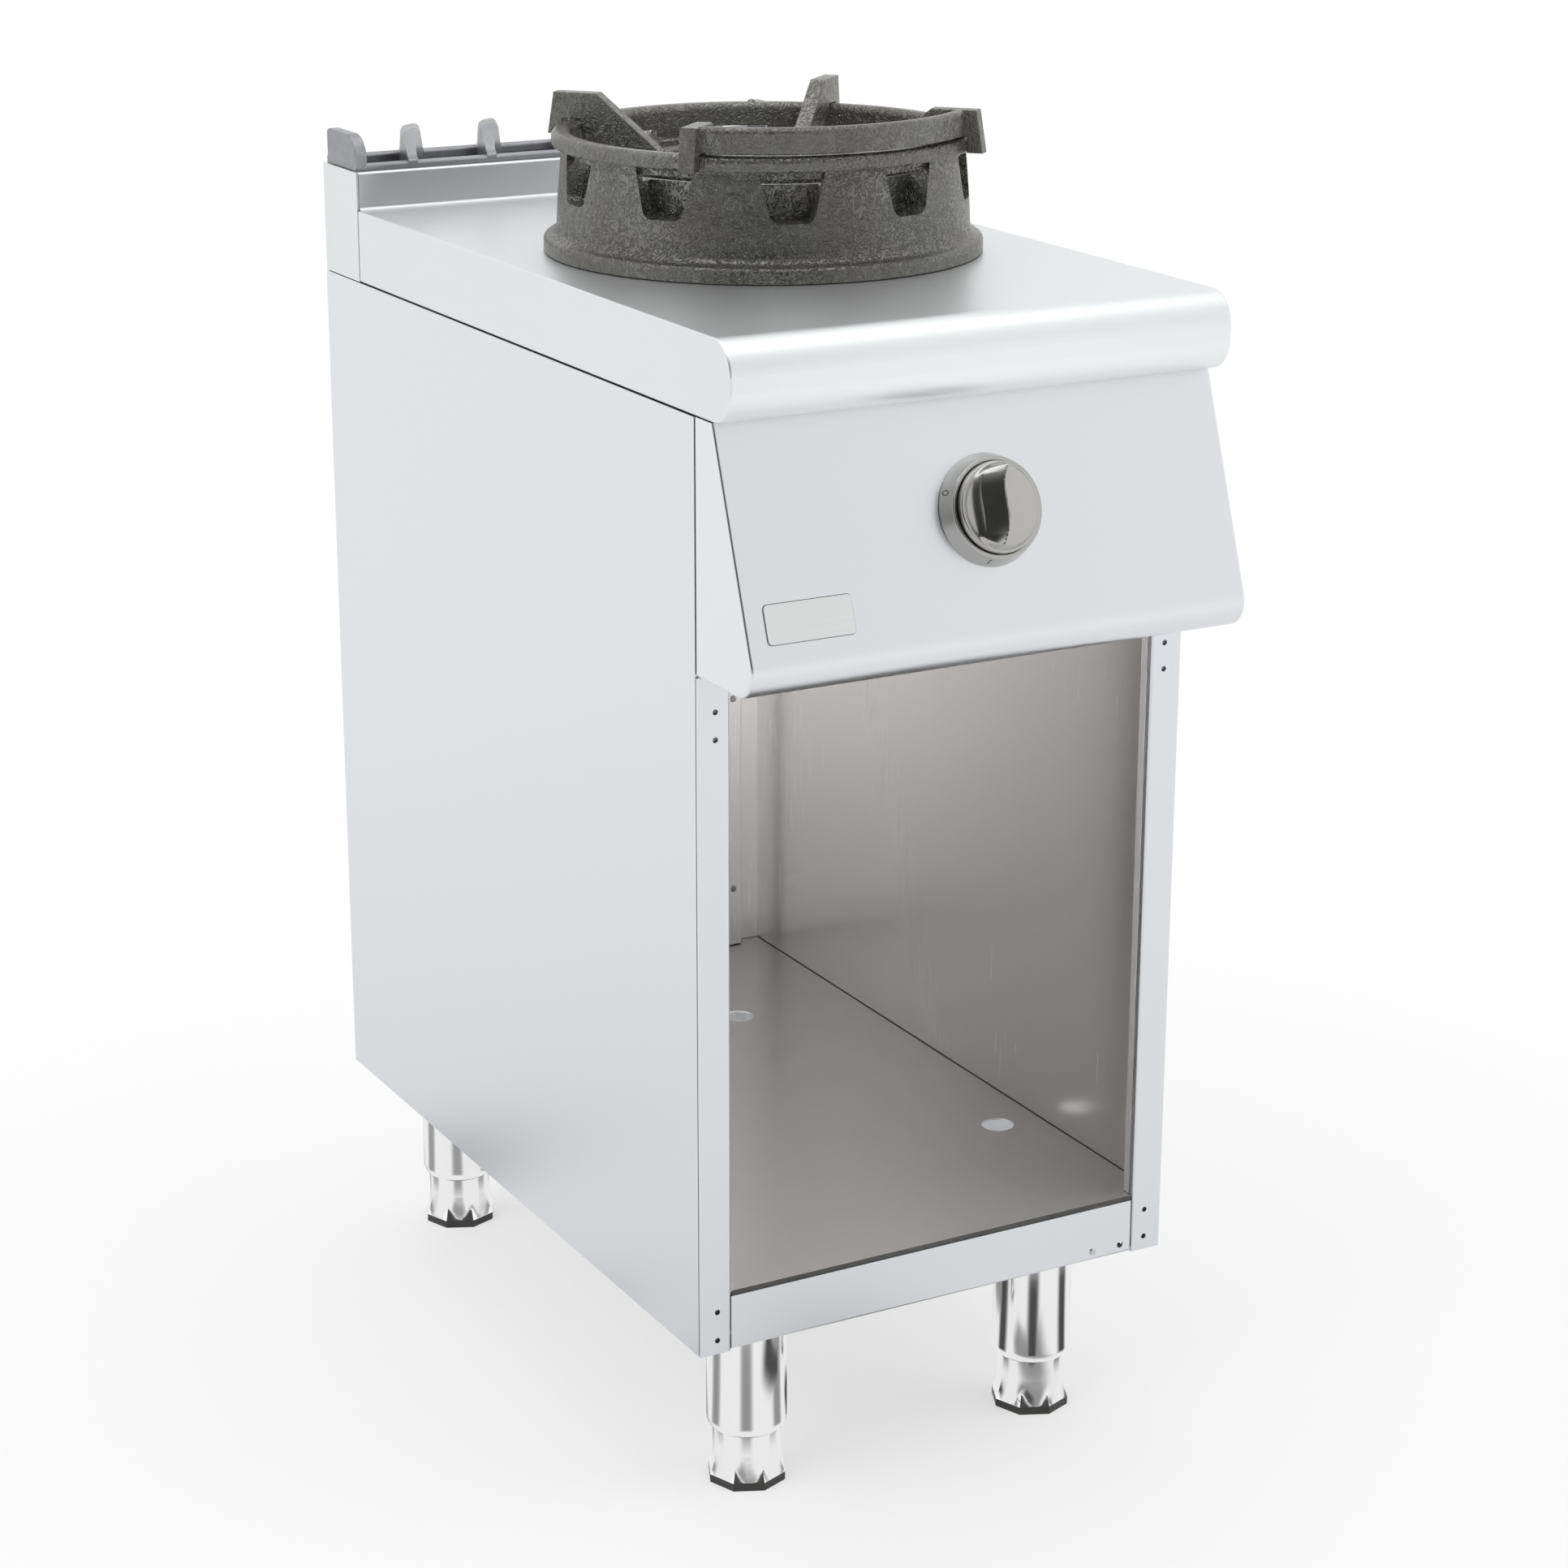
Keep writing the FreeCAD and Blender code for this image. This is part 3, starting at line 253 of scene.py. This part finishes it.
def make_finishes():
    """One material for each of the record's slots."""
    return {
        "outer_steel": brushed("outer_steel", (0.79, 0.81, 0.84), 0.34, "z", 0.012),
        "panel_steel": brushed("panel_steel", (0.82, 0.835, 0.858), 0.3, "x", 0.02),
        "worktop_steel": brushed("worktop_steel", (0.78, 0.8, 0.81), 0.37, "y", 0.03, 0.9),
        "back_steel": brushed("back_steel", (0.70, 0.71, 0.72), 0.4, "z", 0.05),
        "inner_steel": brushed("inner_steel", (0.78, 0.765, 0.757), 0.24, "z", 0.02, 0.72, 0.1),
        "galvanised": spangled("galvanised", (0.62, 0.63, 0.64)),
        "zinc": plated("zinc", (0.66, 0.67, 0.68), 0.3, 0.1),
        "leg_chrome": plated("leg_chrome", (0.97, 0.97, 0.975), 0.07, 0.015),
        "knob_nickel": plated("knob_nickel", (0.47, 0.465, 0.45), 0.16, 0.03),
        "badge_metal": brushed("badge_metal", (0.85, 0.855, 0.86), 0.34, "x", 0.05),
        "brass": plated("brass", (0.72, 0.55, 0.27), 0.28, 0.12),
        "copper": plated("copper", (0.72, 0.42, 0.27), 0.3, 0.15),
        "cast_iron": cast("cast_iron", (0.15, 0.143, 0.132), (0.21, 0.211, 0.198), (0.22, 0.33), 0.9, 0.9),
        "burner_iron": cast("burner_iron", (0.07, 0.066, 0.062), (0.14, 0.136, 0.128)),
        "grille_iron": cast("grille_iron", (0.22, 0.222, 0.238), (0.3, 0.303, 0.32), (0.26, 0.36), 0.04, 0.5),
        "pan_steel": brushed("pan_steel", (0.52, 0.51, 0.50), 0.35, "x", 0.08),
        "pad_black": moulded("pad_black", (0.035, 0.035, 0.033)),
    }


def dress_nodes(finishes):
    """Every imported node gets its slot's finish."""
    for row in frame["record"]["subparts"]:
        mesh = nodes[row["node"]].data
        mesh.materials.clear()
        mesh.materials.append(finishes[row["material_slot"]])


# ---- the knob's own shape -----------------------------------------------------------------
TILT = math.radians(19.42)
PANEL_UP = Vector((0, math.sin(TILT), math.cos(TILT)))
PANEL_OUT = Vector((0, -math.cos(TILT), math.sin(TILT)))
KNOB_JOINT = next(j for j in frame["joints"] if j["name"] == "knob_turn")
KNOB_AT = Vector(KNOB_JOINT["pos_m"])

GRIP_R = 31.9            # millimetres from here to the end of this section
GRIP_BACK = 6.6
GRIP_RIM = 18.0
CREST_H = 29.0
CREST = ((25.1, 3.2), (6.9, -1.3), (-12.4, -2.0), (-27.2, -9.4))     # (up, right) along the blade's crest
FOLD_H = 21.0            # the grip's left side falls from the crest to a fold, then to the rim
FOLD_W = 14.0            # widest distance from the crest to the fold
CREST_HALF = 0.7
CREST_END = (27.4, 30.6)  # the crest's ends fall to the rim between these radii
RIM_ROUND = 1.2           # radius of the rounding on the grip's rim
GRIP_RINGS = 64
GRIP_SIDES = 192


def on_panel(right, up, out):
    """Point in metres from millimetres along the sloping face, round the knob's centre."""
    return KNOB_AT + (Vector((1, 0, 0)) * right + PANEL_UP * up + PANEL_OUT * out) * MM


def crest_at(up):
    """Where the blade's crest lies, right of the centre, at a height up the face."""
    total = 0.0
    for i, (a, value) in enumerate(CREST):
        weight = 1.0
        for j, (b, _) in enumerate(CREST):
            if i != j:
                weight *= (up - b) / (a - b)
        total += weight * value
    return total


def smooth(value, low, high):
    t = min(1.0, max(0.0, (value - low) / (high - low)))
    return t * t * (3 - 2 * t)


def grip_height(right, up):
    """Front surface of the grip: a curved crest, hollowed out on its left, a long slope on its right."""
    radius = math.hypot(right, up)
    crest = crest_at(max(-28.0, min(28.0, up)))
    side = right - crest
    half_chord = math.sqrt(max(0.01, GRIP_R ** 2 - up * up))
    if side < -CREST_HALF:
        away = -side - CREST_HALF
        reach = max(1.0, half_chord + crest - CREST_HALF)
        width = min(0.6 * reach, FOLD_W * math.sqrt(max(0.02, 1 - (min(0.0, up) / 28.0) ** 4)))
        if away < width:
            height = FOLD_H + (CREST_H - FOLD_H) * (1 - away / width)
        else:
            beyond = min(1.0, (away - width) / (reach - width))
            fall = 0.55 * (1 - smooth(beyond, 0.0, 0.5)) + 0.45 * (1 - beyond)
            height = GRIP_RIM + (FOLD_H - GRIP_RIM) * fall
    elif side > CREST_HALF:
        share = min(1.0, (side - CREST_HALF) / max(1.0, half_chord - crest - CREST_HALF))
        height = GRIP_RIM + (CREST_H - 0.6 - GRIP_RIM) * (1 - share) ** 1.1 + 0.8 * math.sin(math.pi * share)
    else:
        height = CREST_H - 0.4 * (side / CREST_HALF) ** 2
    height += (GRIP_RIM - height) * smooth(radius, *CREST_END)
    edge = max(0.0, radius - (GRIP_R - RIM_ROUND)) / RIM_ROUND
    return height - RIM_ROUND * (1 - math.sqrt(max(0.0, 1 - edge * edge)))


def mesh_piece(name, verts, faces, material, body, round_edges=True):
    """New piece from points in metres, riding on a body."""
    mesh = bpy.data.meshes.new(name)
    mesh.from_pydata([tuple(v) for v in verts], [], faces)
    mesh.update()
    piece = bpy.data.objects.new(name, mesh)
    bpy.context.scene.collection.objects.link(piece)
    shape = bmesh.new()
    shape.from_mesh(mesh)
    bmesh.ops.recalc_face_normals(shape, faces=shape.faces)
    shape.to_mesh(mesh)
    shape.free()
    if round_edges:
        mesh.shade_smooth()
    mesh.materials.append(material)
    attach(piece, body)
    return piece


def make_grip(material):
    """Turning grip: its modelled front, side wall and back, as one closed mesh."""
    verts = [on_panel(0, 0, grip_height(0, 0))]
    faces = []
    for ring in range(1, GRIP_RINGS + 1):
        radius = GRIP_R * ring / GRIP_RINGS
        for k in range(GRIP_SIDES):
            angle = 2 * math.pi * k / GRIP_SIDES
            right = radius * math.cos(angle)
            up = radius * math.sin(angle)
            verts.append(on_panel(right, up, grip_height(right, up)))
    for height in (GRIP_BACK + 0.3, GRIP_BACK):
        for k in range(GRIP_SIDES):
            angle = 2 * math.pi * k / GRIP_SIDES
            radius = GRIP_R if height > GRIP_BACK else GRIP_R - 0.3
            verts.append(on_panel(radius * math.cos(angle), radius * math.sin(angle), height))
    for k in range(GRIP_SIDES):
        faces.append((0, 1 + k, 1 + (k + 1) % GRIP_SIDES))
    for ring in range(GRIP_RINGS + 1):
        low = 1 + ring * GRIP_SIDES
        high = low + GRIP_SIDES
        for k in range(GRIP_SIDES):
            following = (k + 1) % GRIP_SIDES
            faces.append((low + k, high + k, high + following, low + following))
    faces.append(tuple(1 + (GRIP_RINGS + 1) * GRIP_SIDES + k for k in range(GRIP_SIDES)))
    grip = mesh_piece("knob_grip_shape", verts, faces, material, "knob_grip")
    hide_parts("knob")
    return grip


BEZEL_BASE_R = 39.5       # the bezel's tapered side, at the panel and at its rim
BEZEL_RIM_R = 35.3
BEZEL_FOOT = 1.0
BEZEL_DEPTH = 12.7
MARK_LIFT = 0.06
ZERO_AT = (157.0, 5.4)    # the zero's angle round the bezel and its height on the side
ZERO_LOOPS = ((2.1, 2.7), (1.35, 1.95))      # half width and half height, outside and inside
ZERO_SIDES = 40
LINE_AT = -106.0
LINE_HALF = 0.6
LINE_SPAN = (4.4, 10.6)


def make_marks(material):
    """Printed marks on the bezel's side: a zero and a line."""

    def on_skirt(angle, along, out):
        """Point on the bezel's tapered side: along its round, and out from the panel."""
        share = (out - BEZEL_FOOT) / (BEZEL_DEPTH - BEZEL_FOOT)
        radius = BEZEL_BASE_R + (BEZEL_RIM_R - BEZEL_BASE_R) * share + MARK_LIFT
        turn = math.radians(angle) + along / radius
        return on_panel(radius * math.cos(turn), radius * math.sin(turn), out)

    verts = []
    for width, height in ZERO_LOOPS:
        for k in range(ZERO_SIDES):
            turn = 2 * math.pi * k / ZERO_SIDES
            verts.append(on_skirt(ZERO_AT[0], width * math.cos(turn), ZERO_AT[1] + height * math.sin(turn)))
    faces = []
    for k in range(ZERO_SIDES):
        following = (k + 1) % ZERO_SIDES
        faces.append((k, following, ZERO_SIDES + following, ZERO_SIDES + k))
    mesh_piece("mark_zero", verts, faces, material, "cabinet", False)
    low, high = LINE_SPAN
    corners = ((-LINE_HALF, low), (LINE_HALF, low), (LINE_HALF, high), (-LINE_HALF, high))
    verts = [on_skirt(LINE_AT, along, out) for along, out in corners]
    mesh_piece("mark_line", verts, [(0, 1, 2, 3)], material, "cabinet", False)


BADGE = (67.0, 27.0, 3.0)        # the plate's width, height and corner radius
BADGE_AT = (-151.0, -57.1)       # its centre, from the knob's


def badge_loop(margin, out):
    """Rounded outline of the badge plate, grown by a margin, as points at one height."""
    width, height, corner = BADGE
    radius = corner + margin
    points = []
    for sign_x, sign_y, start in ((1, 1, 0), (-1, 1, 90), (-1, -1, 180), (1, -1, 270)):
        for step in range(9):
            turn = math.radians(start + step * 11.25)
            right = BADGE_AT[0] + sign_x * (width / 2 - corner) + radius * math.cos(turn)
            up = BADGE_AT[1] + sign_y * (height / 2 - corner) + radius * math.sin(turn)
            points.append(on_panel(right, up, out))
    return points


def make_badge_shadow_line(material):
    """Painted shadow: a thin dark ring laid round the edge of the badge plate, standing in for the shade at its
    edge.
    """
    loops = [badge_loop(0.0, 0.02), badge_loop(0.5, 0.02), badge_loop(0.45, 0.4), badge_loop(0.0, 0.45)]
    verts = [point for loop in loops for point in loop]
    count = len(loops[0])
    faces = []
    for i in range(len(loops)):
        low = i * count
        high = (i + 1) % len(loops) * count
        for k in range(count):
            following = (k + 1) % count
            faces.append((low + k, low + following, high + following, high + k))
    mesh_piece("badge_shadow_line", verts, faces, material, "cabinet", False)


# Dark boxes of painted shade: a strip in the sill's slot, strips in the floor's side joints and plates behind the
# hinge holes.
SILL_SHADE_STRIP = ((-173.5, -292.5, 186.6), (173.5, -291.8, 189.6))    # lower and upper corner in millimetres
FLOOR_SHADE_STRIP = ((195.3, -279.0, 188.4), (196.9, 349.0, 189.8))      # right side; the left one is its mirror
HOLE_SHADE_LOW = ((178.0, -291.6, 146.0), (197.0, -290.8, 184.0))      # dark plate of painted shade behind the right stile's lower holes
HOLE_SHADE_TOP = ((178.0, -291.6, 602.0), (197.0, -290.8, 637.0))      # behind its upper holes


def mirrored_box(box):
    """The same box on the cabinet's left side."""
    low, high = box
    return (-high[0], *low[1:]), (-low[0], *high[1:])


PAINTED_SHADE_PIECES = (
    ("sill_shade_strip", SILL_SHADE_STRIP),
    ("floor_shade_strip_left", mirrored_box(FLOOR_SHADE_STRIP)),
    ("floor_shade_strip_right", FLOOR_SHADE_STRIP),
    ("hinge_hole_shade_low_left", mirrored_box(HOLE_SHADE_LOW)),
    ("hinge_hole_shade_low_right", HOLE_SHADE_LOW),
    ("hinge_hole_shade_top_left", mirrored_box(HOLE_SHADE_TOP)),
    ("hinge_hole_shade_top_right", HOLE_SHADE_TOP),
)


def make_painted_shade_pieces(material):
    """Painted shade: thin dark strips laid in the sill's slot and the floor's side joints, and dark plates behind
    the hinge holes, standing in for the shadow there.
    """
    for name, (low, high) in PAINTED_SHADE_PIECES:
        verts = [Vector(corner) * MM for corner in itertools.product(*zip(low, high))]
        faces = [(0, 1, 3, 2), (4, 6, 7, 5), (0, 4, 5, 1), (2, 3, 7, 6), (0, 2, 6, 4), (1, 5, 7, 3)]
        mesh_piece(name, verts, faces, material, "cabinet", False)


# ---- light and ground ---------------------------------------------------------------------
FRONT = Vector((-math.sin(YAW), -math.cos(YAW), 0))     # from the object towards the darker end of the studio
ACROSS = Vector((math.cos(YAW), -math.sin(YAW), 0))
SHADE_LIFT = 0.2         # how far the studio's dark end leans upwards
SHADE_EDGE = 56          # degrees from its middle where it starts, and where it is darkest
SHADE_CORE = 18
SHADE_LEVEL = 0.06
DIM_TOWARDS = (0.42, -0.76, 0.5)     # a softly dimmed patch of the surround, front right and high
DIM_EDGE = 34
DIM_CORE = 10
DIM_LEVEL = 0.93
BRIGHT_FROM = 48         # degrees of height where the overhead brightness starts, and is full
BRIGHT_FULL = 72
BRIGHT_LEVEL = 1.9
DIFFUSE_LEVEL = 0.62     # how brightly the surround lights matt surfaces
FLOOR_SIZE = 9.0
FLOOR_FADE = (0.3, 1.1, 0.58)        # the floor turns to the surround's white between these distances
FLOOR_MIRRORED = (0.2, 2.0, 0.84, 0.98)      # near and far distance, and how bright metal mirrors it there
# Painted reflections round each leg (x, y, darkness): dark patches in the floor's glow that only mirrored rays
# see.
PAINTED_LEG_REFLECTIONS = ((-0.127, -0.229, 0.66), (0.127, -0.229, 0.92), (-0.127, 0.304, 0.62), (0.127, 0.304, 0.7))
PAINTED_REFLECTION_NEAR = 0.07         # where a leg's painted dark reflection patches start, from its middle
PAINTED_REFLECTION_FAR = 0.26          # and how far they reach
PAINTED_REFLECTION_SPOKES = 4.0


def cosine(degrees):
    return math.cos(math.radians(degrees))


def make_world():
    """White surround; what lights and mirrors in the object is darker towards the studio's front."""
    world = bpy.data.worlds.new("studio")
    world.use_nodes = True
    n = Nodes(world.node_tree)
    heading = n.node("ShaderNodeTexCoord").outputs["Generated"]
    front = n.along(heading, (FRONT + Vector((0, 0, SHADE_LIFT))).normalized())
    front_right = n.along(heading, Vector(DIM_TOWARDS).normalized())
    height = n.along(heading, Vector((0, 0, 1)))
    shade = n.ramp(front, cosine(SHADE_EDGE), cosine(SHADE_CORE), 1.0, SHADE_LEVEL, True)
    dim = n.ramp(front_right, cosine(DIM_EDGE), cosine(DIM_CORE), 1.0, DIM_LEVEL, True)
    bright = n.ramp(height, cosine(90 - BRIGHT_FROM), cosine(90 - BRIGHT_FULL), 1.0, BRIGHT_LEVEL, True)
    rays = n.node("ShaderNodeLightPath")
    mirrored = n.math("SUBTRACT", n.math("MULTIPLY", dim, bright), DIFFUSE_LEVEL)
    mirrored = n.math("MULTIPLY", mirrored, rays.outputs["Is Glossy Ray"])
    level = n.math("MULTIPLY", shade, n.math("ADD", mirrored, DIFFUSE_LEVEL))
    seen = n.math("MAXIMUM", rays.outputs["Is Camera Ray"], rays.outputs["Is Transmission Ray"])
    background = n.tree.nodes["Background"]
    background.inputs["Color"].default_value = (1, 1, 1, 1)
    n.link(n.math("MAXIMUM", seen, level), background.inputs["Strength"])
    bpy.context.scene.world = world


LAMPS = (                # name, place, aim, size in metres, power in watts, spread in degrees
    ("left", (-2.9, -0.4, 2.2), (0, 0, 0.6), (3.0, 3.0), 50, 180),
    ("right", (2.7, -1.6, 2.0), (0, 0, 0.6), (2.4, 2.4), 28, 180),
    ("top", (0.2, 0.7, 3.6), (0, 0, 0.8), (2.8, 2.8), 22, 180),
    ("cavity", (-0.3, -1.7, 0.3), (0.12, 0.2, 0.7), (0.7, 0.35), 5.5, 40),
    ("bowl", (0.0, -0.1, 1.08), (0.02, 0.13, 0.96), (0.2, 0.2), 0.5, 100),
)


def make_lamp(name, at, towards, size, power, spread):
    """Soft lamp; metal mirrors the surround and not the lamp, so that it doesn't burn out."""
    data = bpy.data.lights.new(name, "AREA")
    data.shape = "RECTANGLE"
    data.size, data.size_y = size
    data.energy = power
    data.spread = math.radians(spread)
    lamp = bpy.data.objects.new(name, data)
    bpy.context.scene.collection.objects.link(lamp)
    direction = Vector(towards) - Vector(at)
    turn = direction.to_track_quat("-Z", "Y").to_matrix().to_4x4()
    lamp.matrix_world = Matrix.Translation(Vector(at)) @ turn
    lamp.visible_camera = False
    lamp.visible_glossy = False


def paint_leg_reflections(s, place):
    """Painted reflection: dark patches in the floor's glow for mirrored rays, in four spokes round each leg, that
    paint dark stripes into the polished legs.
    """
    dark = 0.0
    for x, y, reflection_darkness in PAINTED_LEG_REFLECTIONS:
        moved = s.node("ShaderNodeVectorMath", operation="SUBTRACT")
        s.link(place, moved.inputs[0])
        moved.inputs[1].default_value = (x, y, 0)
        apart = s.node("ShaderNodeVectorMath", operation="LENGTH")
        s.link(moved.outputs[0], apart.inputs[0])
        angle = s.math("ARCTAN2", s.along(moved.outputs[0], ACROSS), s.along(moved.outputs[0], FRONT))
        wave = s.math("COSINE", s.math("MULTIPLY", angle, PAINTED_REFLECTION_SPOKES), 0)
        spoke = s.ramp(wave, 0.1, 0.95, 0, reflection_darkness, True)
        start = s.ramp(apart.outputs["Value"], PAINTED_REFLECTION_NEAR, PAINTED_REFLECTION_NEAR + 0.05, 0, 1, True)
        stop = s.ramp(apart.outputs["Value"], PAINTED_REFLECTION_FAR, PAINTED_REFLECTION_FAR + 0.08, 1, 0, True)
        reach = s.math("MULTIPLY", start, stop)
        dark = s.math("MAXIMUM", dark, s.math("MULTIPLY", spoke, reach))
    return dark


def make_floor():
    """Pale floor: fades to the white surround for the eye, and is dimmer close by for reflections, with painted
    dark reflection patches round the legs.
    """
    corners = [(x * FLOOR_SIZE, y * FLOOR_SIZE, 0) for x, y in ((-1, -1), (1, -1), (1, 1), (-1, 1))]
    mesh = bpy.data.meshes.new("floor")
    mesh.from_pydata(corners, [], [(0, 1, 2, 3)])
    floor = bpy.data.objects.new("floor", mesh)
    bpy.context.scene.collection.objects.link(floor)
    s = Shader("floor")
    s.set(Roughness=0.9)
    s.set(Specular_IOR_Level=0.1)
    grain = s.noise(s.coordinates(), 3.0, 2.0)
    s.colour(s.mix(s.ramp(grain, 0.3, 0.7, 0, 1), (0.955, 0.958, 0.96), (0.975, 0.975, 0.975)))
    place = s.node("ShaderNodeTexCoord").outputs["Object"]
    length = s.node("ShaderNodeVectorMath", operation="LENGTH")
    s.link(place, length.inputs[0])
    distance = length.outputs["Value"]
    rays = s.node("ShaderNodeLightPath")
    fade_near, fade_far, fade_level = FLOOR_FADE
    seen = s.ramp(distance, fade_near, fade_far, fade_level, 1)
    seen = s.math("MULTIPLY", seen, rays.outputs["Is Camera Ray"])
    # painted dark reflection patches round the legs, for mirrored rays only
    dark = paint_leg_reflections(s, place)
    mirrored = s.math("MULTIPLY", s.ramp(distance, *FLOOR_MIRRORED), s.ramp(dark, 0, 1, 1, 0))
    layers = s.bsdf.outputs[0]
    for factor, strength in ((seen, 1.0), (rays.outputs["Is Glossy Ray"], mirrored)):
        glow = s.node("ShaderNodeEmission")
        if isinstance(strength, float):
            glow.inputs["Strength"].default_value = strength
        else:
            s.link(strength, glow.inputs["Strength"])
        mix = s.node("ShaderNodeMixShader")
        s.link(factor, mix.inputs["Fac"])
        s.link(layers, mix.inputs[1])
        s.link(glow.outputs[0], mix.inputs[2])
        layers = mix.outputs[0]
    s.link(layers, s.output.inputs["Surface"])
    mesh.materials.append(s.material)


# ---- build --------------------------------------------------------------------------------
make_camera()
finishes = make_finishes()
dress_nodes(finishes)
make_grip(finishes["knob_nickel"])
make_marks(finishes["pad_black"])
make_badge_shadow_line(finishes["pad_black"])
make_painted_shade_pieces(finishes["pad_black"])
make_world()
for lamp in LAMPS:
    make_lamp(*lamp)
make_floor()

bpy.context.scene.view_settings.view_transform = "Standard"
